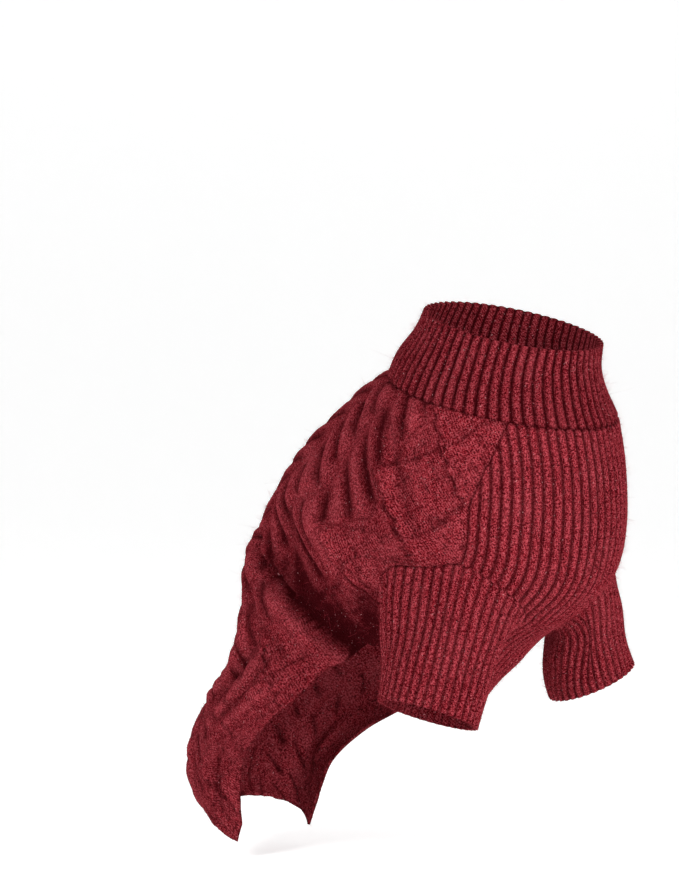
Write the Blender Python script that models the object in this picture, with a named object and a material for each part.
"""Knitted dog sweater: ribbed turtleneck, ribbed chest and sleeves, and a cabled back with a tail flap.

The sweater keeps the hollow form it has when worn by a sitting dog. +Z is up, the dog faces -Y and its right
side is at -X. The origin is the centre of the seam between collar and body. Sizes below are in millimetres.
Angles round the body are in degrees from the middle of the back, positive towards the dog's right side.
"""

import bpy
import bmesh
import numpy as np

METRES = 0.001  # metres in a millimetre

# Driving sizes
WALL = 2.0  # plain thickness of the knit
SEAM_GAP = 0.36  # space between two pieces at a seam
RIB_HEIGHT = 1.1  # how far a rib stands above the groove beside it
RIB_FADE = 2.5  # length over which ribs and cables rise from a seam
CHEST_RIB_PITCH = 6.4
COLLAR_RIBS = 60
SLEEVE_RIBS = 36
CHEST_RIBS = 28  # across the chest, from one raglan seam to the other
BELLY_RIBS = 26  # between the side seams
BRIDGE_RIBS = 10  # between the armholes, where the chest is at its narrowest
ARMHOLE_ROWS = 13  # rows of the back along an armhole
BACK_HALF = 200  # nominal width of the back from its middle to its edge, on which the cables are laid out
RIGHT, BOTH, LEFT = 1, 0, -1

# Body sections from the collar seam (0) to the end of the tail flap
# columns: back_y, back_z, front_y, front_z, half_width
SECTIONS = np.array([
    (72, 16, -70, -16, 72),
    (92, 6, -76, -47, 76),
    (115, -11, -77, -82, 80),
    (138, -29, -69, -112, 83),
    (154, -47, -46, -134, 84),
    (166, -65, -16, -153, 83),
    (177, -82, 4, -172, 80),
    (186, -98, 22, -190, 77),
    (189, -117, 36, -205, 80),
    (188, -140, 44, -211, 86),
    (191, -163, 48, -212, 89),
    (202, -187, 60, -214, 88),
    (219, -208, 85, -225, 80),
    (236, -228, 125, -240, 66),
    (243, -247, 155, -258, 55),
    (241, -263, 168, -278, 50),
    (234, -274, 174, -293, 46),
    (223, -281, 180, -309, 42),
], float)
LAST_SECTION = len(SECTIONS) - 1

# Collar rings from the seam up, columns: centre_y, centre_z, half_width, half_depth, tilt in degrees
COLLAR_RINGS = np.array([
    (1, 0, 72, 72.7, 12.7),
    (1, 15, 65, 65.5, 13),
    (-2, 30, 58.5, 59, 13.5),
    (-7, 44.5, 55.5, 56, 13.5),
], float)

# Raglan seam between back and chest, columns: section, ribs from the middle of the chest
RAGLAN = np.array([(0, 9.8), (0.6, 11.2), (1.25, 12.8), (1.95, 14), (3.15, 14)], float)

# Free edge of the back from the side seam to the tip of the flap, columns: section, angle
FREE_EDGE = np.array([
    (6.1, 127), (6.9, 116), (7.8, 110), (9, 107), (10, 104), (11, 102), (12, 103), (13, 110),
    (14, 119), (15, 124), (16, 126), (17, 119),
], float)

# Upper half of the armhole, from its front corner back, columns: section, angle
ARMHOLE_TOP = np.array([(3.15, 125), (3.55, 115), (3.9, 106.5), (4.35, 107), (4.78, 114)], float)
# Lower half, from the side seam forward, columns: section, ribs from the middle of the chest
ARMHOLE_FOOT = np.array([(5.08, 13), (5.1, 9.6), (4.9, 6.9), (4.45, 5), (3.95, 5.1), (3.45, 8.6)], float)

# How much the chest is stretched across its ribs, at sections 0 to 8
STRETCH = np.array([[1.0], [1.02], [1.043], [1.01], [0.965], [1.0], [0.93], [0.9], [0.9]])

# Hem of the chest piece under the belly, columns: ribs from the middle, section
BELLY_HEM = np.array([(0, 7.65), (3, 7.55), (6, 7.2), (9, 6.75), (13, 6.1)], float)

# Cuffs by side, columns: centre x, y, z, and the direction in which the cuff opens
CUFFS = {RIGHT: (-85.3, -7.5, -189, -0.4, 0.03, -0.915), LEFT: (83.4, -8.8, -188, 0.32, -0.25, -0.92)}
CUFF_HALF_LENGTH, CUFF_HALF_WIDTH, CUFF_TURN = 30.4, 28.4, 40  # an oval turned 40 degrees inward
SLEEVE_LEAN_TOP, SLEEVE_LEAN_FRONT = 0.25, 0.9  # 0 leaves the armhole downward, 1 along the body's surface
SLEEVE_EASE = 8.0  # how far the inner rear wall bows out halfway down
SLEEVE_EASE_TOWARD = np.array([0.64, 0.77, 0])  # toward the middle of the body and rearward
SLEEVE_TUCK = 0.4  # least part of the sleeve's first direction that points into the armhole
SLEEVE_HOLLOW = 1.3  # how much further the front of a sleeve follows the body before it turns down

# Large folds, columns: section and angle of both ends, bow in sections, height, half_width, side
FOLDS = [
    (6.2, 26, 6.8, 158, 0.25, -10, 7, BOTH),  # crease between flank and thigh
    (6.6, 24, 7.15, 142, 0.35, 5, 8, BOTH),  # roll below that crease
    (4.8, 46, 6.4, 134, 0.2, -10, 18, BOTH),  # slope that sinks into it, deepest behind the sleeve
    (6.6, 18, 7.6, 62, 0.3, 3, 7, RIGHT),
    (7.3, 72, 10.5, 58, -0.2, 3.5, 8, RIGHT),
    (7.5, 90, 11.8, 78, 0.3, 4, 8, RIGHT),
    (12.0, 74, 16.4, 108, 0.0, 4, 8, RIGHT),
    (7.7, 78, 10.9, 64, 0.2, 3.5, 8, LEFT),
    (7.9, 98, 11.5, 86, -0.2, 3.5, 8, LEFT),
    (12.8, 74, 16.2, 100, 0.0, 3.5, 8, LEFT),
    (0.0, 54, 3.5, 104, 0.0, 4, 5, RIGHT),  # ridge over the shoulder blade
    (0.1, 44, 2.3, 94, -0.1, 3.5, 5, LEFT),
    (2.0, 118, 5.8, 142, 0.0, 9, 26, LEFT),  # fullness over the left shoulder
]
FOLD_STEPS = 8  # straight steps in the path of a fold
SECTION_PITCH = 26.0  # mean length between sections

# Cable columns of the back, on both sides, columns: centre, width, row pitch, slope, height
CABLES = np.array([
    (0, 36, 24, 0.0, 1.0),
    (44, 38, 23, -0.55, 1.7),
    (87, 30, 21, 0.6, 2.5),
], float)
DIAMOND = (166, 31, 64, 57, 6, 1.6)  # centre, half_width, height, first widest row, ridge half_width, ridge height
STRAND_DEPTH = 0.7  # how deep the hollows between a cable's strands are, as a share of its height
STRANDS_END = (5.6, 7.0)  # the strands flatten out between these sections

RED = (0.165, 0.017, 0.024, 1.0)
DEEP_RED = (0.14, 0.014, 0.02, 1.0)


def spline(rows, position):
    """The rows of a table at any row number, on a smooth curve through them."""
    position = np.clip(np.asarray(position, float), 0, len(rows) - 1)
    first = np.minimum(position.astype(int), len(rows) - 2)
    t = (position - first)[..., None]
    padded = np.vstack([2 * rows[0] - rows[1], rows, 2 * rows[-1] - rows[-2]])
    a, b, c, d = (padded[first + k] for k in range(4))
    return 0.5 * (2 * b + (c - a) * t + (2 * a - 5 * b + 4 * c - d) * t**2 + (3 * b - a - 3 * c + d) * t**3)


def look_up(table, value):
    """The second column of a table where its first column has this value."""
    return np.interp(value, table[:, 0], table[:, 1])


def unit(vectors):
    return vectors / np.maximum(np.linalg.norm(vectors, axis=-1, keepdims=True), 1e-9)


def body_point(section, angle):
    """A point on the smooth body, without its folds."""
    back_y, back_z, front_y, front_z, half_width = np.moveaxis(spline(SECTIONS, section), -1, 0)
    turn = np.radians(angle)
    along = (1 + np.cos(turn)) / 2
    y = front_y + (back_y - front_y) * along
    z = front_z + (back_z - front_z) * along
    return np.stack([-half_width * np.sin(turn), y, z], -1)


def surface_normal(surface, section, angle, step=0.02):
    """The outward unit normal of a surface that is given by section and angle."""
    along = surface(section + step, angle) - surface(section - step, angle)
    round_it = surface(section, angle + step * 20) - surface(section, angle - step * 20)
    return unit(np.cross(along, round_it))


def fold_height(section, angle):
    """How far the folds lift the cloth (or sink it, below 0) at a place on the body."""
    height = np.zeros(np.broadcast(section, angle).shape)
    degree_width = np.radians(spline(SECTIONS, section)[..., -1])
    for section_a, angle_a, section_b, angle_b, bow, tall, half_width, side in FOLDS:
        here = np.abs(angle) if side == BOTH else angle * side
        t = np.linspace(0, 1, FOLD_STEPS + 1)
        path_section = section_a + (section_b - section_a) * t + 4 * bow * t * (1 - t)
        path_angle = angle_a + (angle_b - angle_a) * t
        nearest = np.full(height.shape, np.inf)
        strength = np.zeros(height.shape)
        for k in range(FOLD_STEPS):
            step_along = (path_section[k + 1] - path_section[k]) * SECTION_PITCH
            step_round = (path_angle[k + 1] - path_angle[k]) * degree_width
            along = (section - path_section[k]) * SECTION_PITCH
            round_it = (here - path_angle[k]) * degree_width
            share = (along * step_along + round_it * step_round) / (step_along**2 + step_round**2)
            share = np.clip(share, 0, 1)
            distance = np.hypot(along - share * step_along, round_it - share * step_round)
            place = (k + share) / FOLD_STEPS
            strength = np.where(distance < nearest, 4 * place * (1 - place), strength)
            nearest = np.minimum(nearest, distance)
        height = height + tall * strength * np.exp(-((nearest / half_width) ** 2))
    return height * (1 - np.exp(-((section / 0.6) ** 2)))


def cloth_point(section, angle):
    """A point on the body's outer surface with its folds, below any rib or cable."""
    normal = surface_normal(body_point, section, angle)
    return body_point(section, angle) + normal * fold_height(section, angle)[..., None]


def chest_angles():
    """A table of the angle at each section and each distance across the chest, in ribs from the middle."""
    sections = np.linspace(0, 8, 81)
    ribs = np.linspace(0, CHEST_RIBS / 2 + 1, 61)
    angles = np.linspace(180, 90, 121)
    points = body_point(sections[:, None], angles[None])
    steps = np.linalg.norm(np.diff(points, axis=1), axis=-1)
    lengths = np.concatenate([np.zeros((len(sections), 1)), np.cumsum(steps, axis=1)], axis=1)
    table = [
        np.interp(ribs * CHEST_RIB_PITCH * spline(STRETCH, s), row, angles)
        for s, row in zip(sections, lengths)
    ]
    return np.array(table)


CHEST_ANGLES = chest_angles()


def chest_angle(section, ribs):
    """The angle of the chest's cloth at a signed distance from its middle, in ribs, positive to the right."""
    rows, columns = CHEST_ANGLES.shape
    u = np.clip(np.asarray(section, float) * (rows - 1) / 8, 0, rows - 1.001)
    v = np.clip(np.abs(ribs) * (columns - 1) / (CHEST_RIBS / 2 + 1), 0, columns - 1.001)
    i, j = u.astype(int), v.astype(int)
    s, t = u - i, v - j
    table = CHEST_ANGLES
    low = table[i, j] * (1 - t) + table[i, j + 1] * t
    high = table[i + 1, j] * (1 - t) + table[i + 1, j + 1] * t
    angle = low * (1 - s) + high * s
    return np.where(np.asarray(ribs) < 0, 360 - angle, angle)


def ribs_at(section, angle):
    """How many ribs from the middle of the chest this angle lies."""
    ribs = np.linspace(0, CHEST_RIBS / 2 + 1, 121)
    return float(np.interp(-angle, -chest_angle(np.full(ribs.shape, float(section)), ribs), ribs))


def armhole(count):
    """Points round the right armhole as rows of section and angle, from its front corner over the top."""
    foot = np.array([(s, float(chest_angle(s, r))) for s, r in ARMHOLE_FOOT])
    rows = np.vstack([ARMHOLE_TOP, foot])
    padded = np.vstack([rows[-1:], rows, rows[:2]])
    position = np.linspace(0, len(rows), 40 * len(rows), endpoint=False)
    first = position.astype(int)
    t = (position - first)[:, None]
    a, b, c, d = (padded[first + k] for k in range(4))
    fine = 0.5 * (2 * b + (c - a) * t + (2 * a - 5 * b + 4 * c - d) * t**2 + (3 * b - a - 3 * c + d) * t**3)
    points = body_point(fine[:, 0], fine[:, 1])
    steps = np.linalg.norm(np.roll(points, -1, axis=0) - points, axis=1)
    length = np.concatenate([[0], np.cumsum(steps)])
    loop = np.vstack([fine, fine[:1]])
    at = np.linspace(0, length[-1], count, endpoint=False)
    return np.stack([np.interp(at, length, loop[:, k]) for k in range(2)], -1)


def armhole_cut():
    """The armhole as the body pieces are cut to it, a gap wider than the sleeve, as its upper and lower half.

    Both halves run from the raglan seam to the side seam.
    """
    loop = armhole(1600)
    centre = (loop.min(axis=0) + loop.max(axis=0)) / 2
    radius = 38.0
    loop = centre + (loop - centre) * (1 + 1.6 * SEAM_GAP / radius)
    ribs = np.array([ribs_at(*place) for place in loop])
    in_front = loop[:, 0] < centre[0]
    raglan_end = int(np.where(in_front, np.abs(ribs - CHEST_RIBS / 2), 99).argmin())
    loop, ribs, in_front = (np.roll(values, -raglan_end, axis=0) for values in (loop, ribs, in_front))
    side_end = int(np.where(in_front, 99, np.abs(ribs - BELLY_RIBS / 2)).argmin())
    return loop[: side_end + 1], np.vstack([loop[side_end:], loop[:1]])[::-1]


UPPER_CUT, LOWER_CUT = armhole_cut()
FRONT_CORNER, REAR_CORNER = UPPER_CUT[0, 0], UPPER_CUT[-1, 0]


def back_edge(section):
    """The angle at which the back piece ends, at a section that has no armhole."""
    gap = np.degrees(SEAM_GAP / 2 / 80)
    side_angle = chest_angle(section, np.full(np.shape(section), BELLY_RIBS / 2))
    edge = np.where(section < FREE_EDGE[0, 0], side_angle, look_up(FREE_EDGE, section))
    raglan_angle = chest_angle(section, look_up(RAGLAN, section))
    return np.where(section < (FRONT_CORNER + REAR_CORNER) / 2, raglan_angle, edge) - gap


def stations(*stretches):
    """Places along a piece: stretches of (start, end, count), each start being the end before it."""
    places = [stretches[0][0]]
    for start, end, count in stretches:
        places.extend(np.linspace(start, end, count + 1)[1:])
    return np.array(places)


def rib_profile(ribs):
    """Height of the rib pattern, from 0 in a groove to 1 on a rib, at a distance counted in ribs."""
    wave = 0.5 - 0.5 * np.cos(2 * np.pi * np.asarray(ribs))
    return np.clip(1.35 * wave, 0, 1)


def rise(distance):
    """Grows from 0 at a seam to 1 where the pattern has its full height."""
    t = np.clip(distance / RIB_FADE, 0, 1)
    return t * t * (3 - 2 * t)


def cable_height(across, along, section):
    """Height of the cables at a place in the cloth: nominal distance from the middle, length from the seam."""
    across = np.abs(across)
    fade = np.clip((STRANDS_END[1] - section) / (STRANDS_END[1] - STRANDS_END[0]), 0, 1)
    height = np.zeros(np.broadcast(across, along).shape)
    for centre, width, pitch, slope, tall in CABLES:
        s = (across - centre) / (width / 2)
        inside = np.clip(1 - np.abs(s) ** 4, 0, 1)
        strand = along - slope * (width / 2) * s
        hollow = STRAND_DEPTH * fade * (0.5 + 0.5 * np.cos(2 * np.pi * strand / pitch))
        height += tall * inside * (1 - hollow)
    centre, half_width, pitch, widest, ridge, tall = DIAMOND
    swing = np.abs(((along - widest) / pitch + 0.5) % 1 - 0.5) * 2
    distance = np.abs(np.abs(across - centre) - half_width * (1 - swing)) / np.hypot(1, 2 * half_width / pitch)
    height += tall * np.exp(-((distance / ridge) ** 2))
    return height


def grid_lengths(points, axis):
    """Distance along a grid's lines, from its first line."""
    steps = np.linalg.norm(np.diff(points, axis=axis), axis=-1)
    start = np.zeros_like(np.take(steps, [0], axis=axis))
    return np.concatenate([start, np.cumsum(steps, axis=axis)], axis=axis)


def wall(name, outer, inner, row_cuts, column_cuts, present, wraps, colour, collection):
    """One closed wall between a fine outer grid and the same grid's inner side at its cuts.

    present says which blocks between neighbouring cuts are cloth, and wraps joins the last column to the first.
    """
    mesh = bmesh.new()
    columns = outer.shape[1]
    made = {}

    def vertex(side, i, j):
        j = j % columns if wraps else j
        if (side, i, j) not in made:
            grid = outer if side == "out" else inner
            made[side, i, j] = mesh.verts.new(tuple(grid[i, j] * METRES))
        return made[side, i, j]

    def block_is_cloth(r, c):
        if wraps:
            c %= present.shape[1]
        return 0 <= r < present.shape[0] and 0 <= c < present.shape[1] and present[r, c]

    def rim(places, near, far):
        """Closes the edge between the outer points at these places and two inner points."""
        half = (len(places) - 1) // 2
        fine = [vertex("out", *place) for place in places]
        a, b = vertex("in", *near), vertex("in", *far)
        for k in range(len(fine) - 1):
            mesh.faces.new((fine[k], fine[k + 1], a if k < half else b))
        mesh.faces.new((fine[half], b, a))

    for r, (top, bottom) in enumerate(zip(row_cuts[:-1], row_cuts[1:])):
        for c, (left, right) in enumerate(zip(column_cuts[:-1], column_cuts[1:])):
            if not block_is_cloth(r, c):
                continue
            for i in range(top, bottom):
                for j in range(left, right):
                    corners = [(i, j), (i + 1, j), (i + 1, j + 1), (i, j + 1)]
                    mesh.faces.new([vertex("out", *place) for place in corners])
            corners = [(top, left), (top, right), (bottom, right), (bottom, left)]
            mesh.faces.new([vertex("in", *place) for place in corners])
            across = range(left, right + 1)
            down = range(top, bottom + 1)
            if not block_is_cloth(r - 1, c):
                rim([(top, j) for j in across], (top, left), (top, right))
            if not block_is_cloth(r + 1, c):
                rim([(bottom, j) for j in across], (bottom, left), (bottom, right))
            if not block_is_cloth(r, c - 1):
                rim([(i, left) for i in down], (top, left), (bottom, left))
            if not block_is_cloth(r, c + 1):
                rim([(i, right) for i in down], (top, right), (bottom, right))
    bmesh.ops.triangulate(mesh, faces=mesh.faces[:])
    bmesh.ops.recalc_face_normals(mesh, faces=mesh.faces[:])
    data = bpy.data.meshes.new(name)
    mesh.to_mesh(data)
    mesh.free()
    data.shade_smooth()
    data.materials.append(knit_material(name, colour))
    made_object = bpy.data.objects.new(name, data)
    collection.objects.link(made_object)
    return made_object


def knit_material(name, colour):
    material = bpy.data.materials.new(name + "_knit")
    material.use_nodes = True
    shader = material.node_tree.nodes["Principled BSDF"]
    shader.inputs["Base Color"].default_value = colour
    shader.inputs["Roughness"].default_value = 0.9
    shader.inputs["Metallic"].default_value = 0.0
    return material


def cuts(count, step):
    """Every step-th line of a grid with this many cells, with its last line."""
    places = list(range(0, count, step))
    return places + [count]


def back_rows():
    """The back's rows as three lists: section in the middle, section at the edge, and angle of the edge."""
    first = stations((SEAM_GAP / 54, 0.09, 1), (0.09, RAGLAN[3, 0], 10), (RAGLAN[3, 0], FRONT_CORNER, 5))
    past = stations((REAR_CORNER, 5.5, 2), (5.5, 7.1, 11), (7.1, 12.5, 12), (12.5, LAST_SECTION, 7))
    points = body_point(UPPER_CUT[:, 0], UPPER_CUT[:, 1])
    length = np.concatenate([[0], np.cumsum(np.linalg.norm(np.diff(points, axis=0), axis=1))])
    at = np.linspace(0, length[-1], ARMHOLE_ROWS + 1)[1:-1]
    arm_section, arm_angle = (np.interp(at, length, UPPER_CUT[:, k]) for k in range(2))
    even = np.linspace(FRONT_CORNER, REAR_CORNER, ARMHOLE_ROWS + 1)[1:-1]
    gap = np.degrees(SEAM_GAP / 2 / 80)
    edge = np.concatenate([back_edge(first), arm_angle - gap, back_edge(past)])
    return np.concatenate([first, even, past]), np.concatenate([first, arm_section, past]), edge


def make_back(collection):
    rows, edge_rows, edge_angle = back_rows()
    half = np.concatenate([np.linspace(0, 0.955, 25), [0.985, 1]])
    share = np.concatenate([-half[:0:-1], half])
    angle = edge_angle[:, None] * share[None]
    section = rows[:, None] + (edge_rows - rows)[:, None] * np.abs(share[None]) ** 6
    base = cloth_point(section, angle)
    normal = surface_normal(cloth_point, section, angle)
    across = grid_lengths(base, 1)
    along = grid_lengths(base, 0)
    edge = np.minimum(across, across[:, -1:] - across)
    flat = np.clip(1 + fold_height(section, angle) / 6, 0, 1)
    height = cable_height(share[None] * BACK_HALF, along, section) * rise(np.minimum(edge, along)) * flat
    outer = base + normal * height[..., None]
    inner = base - normal * WALL
    close = rows > FRONT_CORNER - 0.01
    row_cuts = [i for i in range(len(rows)) if i in (0, 1, len(rows) - 1) or close[i] or i % 2 == 1]
    column_cuts = [0, 1] + list(range(2, len(share) - 2, 2)) + [len(share) - 2, len(share) - 1]
    present = np.ones((len(row_cuts) - 1, len(column_cuts) - 1), bool)
    return wall("back_panel", outer, inner, row_cuts, column_cuts, present, False, DEEP_RED, collection)


def armhole_rows():
    """Tables of section by ribs for the front and the rear of the armholes' lower halves, and of ribs by section."""
    cut = np.array([(s, ribs_at(s, a)) for s, a in LOWER_CUT])
    foot = int(cut[:, 1].argmin())
    front, rear = cut[: foot + 1][::-1], cut[foot:]
    return front[:, ::-1], rear[:, ::-1], cut


def chest_rows(ribs):
    """For each column of the chest, the sections where its three stretches of rows start and end."""
    gap = SEAM_GAP / 2 / SECTION_PITCH
    front, rear, _ = armhole_rows()
    size = np.abs(ribs)
    slanted = RAGLAN[RAGLAN[:, 0] <= 1.95]
    top = np.interp(size, slanted[:, 1], slanted[:, 0]) + gap
    reach = np.maximum(size, BRIDGE_RIBS / 2)
    arm_front = look_up(front, reach)
    arm_rear = look_up(rear, reach)
    hem = look_up(BELLY_HEM, size)
    return top, arm_front, arm_rear, hem


def make_chest(collection):
    per_rib, top_rows, bridge_rows, belly_rows = 2, 10, 4, 8
    ribs = np.linspace(-CHEST_RIBS / 2, CHEST_RIBS / 2, CHEST_RIBS * per_rib + 1)
    gap = SEAM_GAP / 2 / CHEST_RIB_PITCH
    top, arm_front, arm_rear, hem = chest_rows(ribs)
    upper = np.concatenate([[0, 0.03], np.linspace(0, 1, top_rows)[1:]])[:, None]
    middle = np.linspace(0, 1, bridge_rows + 1)[1:-1, None]
    lower = np.linspace(0, 1, belly_rows + 1)[:, None]
    section = np.vstack([
        top + (arm_front - top) * upper,
        arm_front + (arm_rear - arm_front) * middle,
        arm_rear + (hem - arm_rear) * lower,
    ])
    bridge_start = len(upper) - 1
    bridge_end = bridge_start + bridge_rows
    cut = armhole_rows()[2]
    placed = np.broadcast_to(ribs, section.shape).copy()
    for row in range(bridge_start, bridge_end + 1):
        placed[row] *= np.minimum(look_up(cut, section[row]) / (BRIDGE_RIBS / 2), 1)
    side = BELLY_RIBS / 2
    placed[np.isclose(np.abs(placed), side)] *= 1 - gap / side
    placed[:, [0, -1]] *= 1 - gap / (CHEST_RIBS / 2)
    angle = chest_angle(section, placed)
    angle = np.where(angle > 180, angle - 360, angle)
    base = cloth_point(section, angle)
    normal = surface_normal(cloth_point, section, angle)
    along = grid_lengths(base, 0)
    height = RIB_HEIGHT * rib_profile(ribs)[None] * rise(along)
    outer = base + normal * height[..., None]
    inner = base - normal * WALL
    last = len(section) - 1
    row_cuts = [0, 1] + list(range(3, bridge_start, 2)) + [bridge_start]
    row_cuts += list(range(bridge_start + 1, bridge_end + 1)) + list(range(bridge_end + 2, last + 1, 2))
    column_cuts = cuts(len(ribs) - 1, per_rib)
    present = np.ones((len(row_cuts) - 1, len(column_cuts) - 1), bool)
    middle_of = np.abs(ribs[[(a + b) // 2 for a, b in zip(column_cuts[:-1], column_cuts[1:])]])
    for r, start in enumerate(row_cuts[:-1]):
        if bridge_start <= start < bridge_end:
            present[r] = middle_of < BRIDGE_RIBS / 2
        elif start >= bridge_end:
            present[r] = middle_of < BELLY_RIBS / 2
    return wall("chest_panel", outer, inner, row_cuts, column_cuts, present, False, RED, collection)


def cuff_ring(start, count, side):
    """Points round the cuff that face the armhole's points, so that the sleeve isn't twisted."""
    mirror = np.array([side, 1, 1])
    centre = np.array(CUFFS[side][:3], float) * mirror
    axis = unit(np.array(CUFFS[side][3:], float)) * mirror
    turn = np.radians(CUFF_TURN)
    long_way = np.array([np.sin(turn), -np.cos(turn), 0])
    long_way = unit(long_way - axis * (long_way @ axis))
    short_way = np.cross(axis, long_way)
    spokes = start - start.mean(axis=0)
    found = np.arctan2(spokes @ short_way, spokes @ long_way)
    direction = np.sign(np.median(np.diff(np.unwrap(found))))
    steps = direction * 2 * np.pi * np.arange(count) / count
    angle = steps + np.angle(np.exp(1j * (found - steps)).mean())
    ring = CUFF_HALF_LENGTH * np.cos(angle)[:, None] * long_way
    ring = ring + CUFF_HALF_WIDTH * np.sin(angle)[:, None] * short_way
    return centre + ring, axis


def sleeve_grid(places, count, side):
    """A sleeve's outer surface, as rows from armhole to cuff, and its normals. The left one is the right mirrored."""
    mirror = np.array([side, 1, 1])
    loop = armhole(count)
    start = cloth_point(loop[:, 0], loop[:, 1] * side) * mirror
    body_normal = surface_normal(cloth_point, loop[:, 0], loop[:, 1] * side) * mirror
    ahead = np.roll(start, -1, axis=0) - np.roll(start, 1, axis=0)
    inward = unit(np.cross(ahead, body_normal))
    if ((start.mean(axis=0) - start) * inward).sum() < 0:
        inward = -inward
    end, axis = cuff_ring(start, count, side)
    spokes = start - start.mean(axis=0)
    front = np.clip(-spokes[:, 1:2] / 40, 0, 1) * np.clip(-spokes[:, 2:] / 25, 0, 1)
    lean = SLEEVE_LEAN_TOP + (SLEEVE_LEAN_FRONT - SLEEVE_LEAN_TOP) * front
    leaving = unit(inward * lean + axis * (1 - lean))
    tuck = (leaving * inward).sum(axis=-1, keepdims=True)
    leaving = unit(leaving + inward * np.clip(SLEEVE_TUCK - tuck, 0, None))
    reach = np.linalg.norm(end - start, axis=-1, keepdims=True)
    t = places[:, None, None]
    points = (2 * t**3 - 3 * t**2 + 1) * start
    points = points + (t**3 - 2 * t**2 + t) * leaving * reach * (1 + SLEEVE_HOLLOW * front)
    points = points + (3 * t**2 - 2 * t**3) * end + (t**3 - t**2) * axis * reach
    inner_rear = np.clip(spokes @ SLEEVE_EASE_TOWARD / 30, 0, 1)[:, None]
    points = points + SLEEVE_EASE * 16 * t**2 * (1 - t) ** 2 * inner_rear * SLEEVE_EASE_TOWARD
    down = np.gradient(points, axis=0)
    round_it = np.roll(points, -1, axis=1) - np.roll(points, 1, axis=1)
    normal = unit(np.cross(down, round_it))
    if ((points[-1] - points[-1].mean(axis=0)) * normal[-1]).sum() < 0:
        normal = -normal
    agree = np.clip((normal[0] * body_normal).sum(axis=-1, keepdims=True) * 2, 0, 1)
    normal[0] = unit(normal[0] * (1 - agree) + body_normal * agree)
    return points * mirror, normal * mirror


def make_sleeve(name, side, collection):
    per_rib = 2
    count = SLEEVE_RIBS * per_rib
    places = np.concatenate([[0, 0.03], np.linspace(0, 1, 7)[1:]])
    points, normal = sleeve_grid(places, count, side)
    along = grid_lengths(points, 0)
    height = RIB_HEIGHT * rib_profile(np.arange(count) / per_rib)[None] * rise(along)
    outer = points + normal * height[..., None]
    inner = points - normal * WALL
    row_cuts, column_cuts = [0, 1, 2, 3, 5, 7], cuts(count, per_rib)
    present = np.ones((len(row_cuts) - 1, len(column_cuts) - 1), bool)
    return wall(name, outer, inner, row_cuts, column_cuts, present, True, RED, collection)


def collar_point(share, angle):
    """A point on the collar, from its seam at 0 to its top edge at 1."""
    rows = spline(COLLAR_RINGS, share * (len(COLLAR_RINGS) - 1))
    centre_y, centre_z, half_width, half_depth, tilt = np.moveaxis(rows, -1, 0)
    turn, lean = np.radians(angle), np.radians(tilt)
    back = half_depth * np.cos(turn)
    return np.stack([-half_width * np.sin(turn), centre_y + back * np.cos(lean), centre_z + back * np.sin(lean)], -1)


def make_collar(collection):
    per_rib = 2
    count = COLLAR_RIBS * per_rib
    places = np.concatenate([[SEAM_GAP / 2 / 46, 0.05], np.linspace(0, 1, 4)[1:]])
    angle = np.broadcast_to(np.arange(count) * 360 / count, (len(places), count))
    share = np.broadcast_to(places[:, None], angle.shape)
    base = collar_point(share, angle)
    normal = -surface_normal(collar_point, share, angle)
    normal[0] = surface_normal(cloth_point, np.zeros(count), np.where(angle[0] > 180, angle[0] - 360, angle[0]))
    along = grid_lengths(base, 0)
    height = RIB_HEIGHT * rib_profile(np.arange(count) / per_rib)[None] * rise(along)
    outer = base + normal * height[..., None]
    inner = base - normal * WALL
    row_cuts, column_cuts = [0, 1, 2, 3, 4], cuts(count, per_rib)
    present = np.ones((len(row_cuts) - 1, len(column_cuts) - 1), bool)
    return wall("collar", outer, inner, row_cuts, column_cuts, present, True, RED, collection)


def main():
    for old in list(bpy.data.objects):
        bpy.data.objects.remove(old, do_unlink=True)
    collection = bpy.data.collections.new("dog_sweater")
    bpy.context.scene.collection.children.link(collection)
    make_collar(collection)
    make_back(collection)
    make_chest(collection)
    make_sleeve("sleeve_right", 1, collection)
    make_sleeve("sleeve_left", -1, collection)


main()
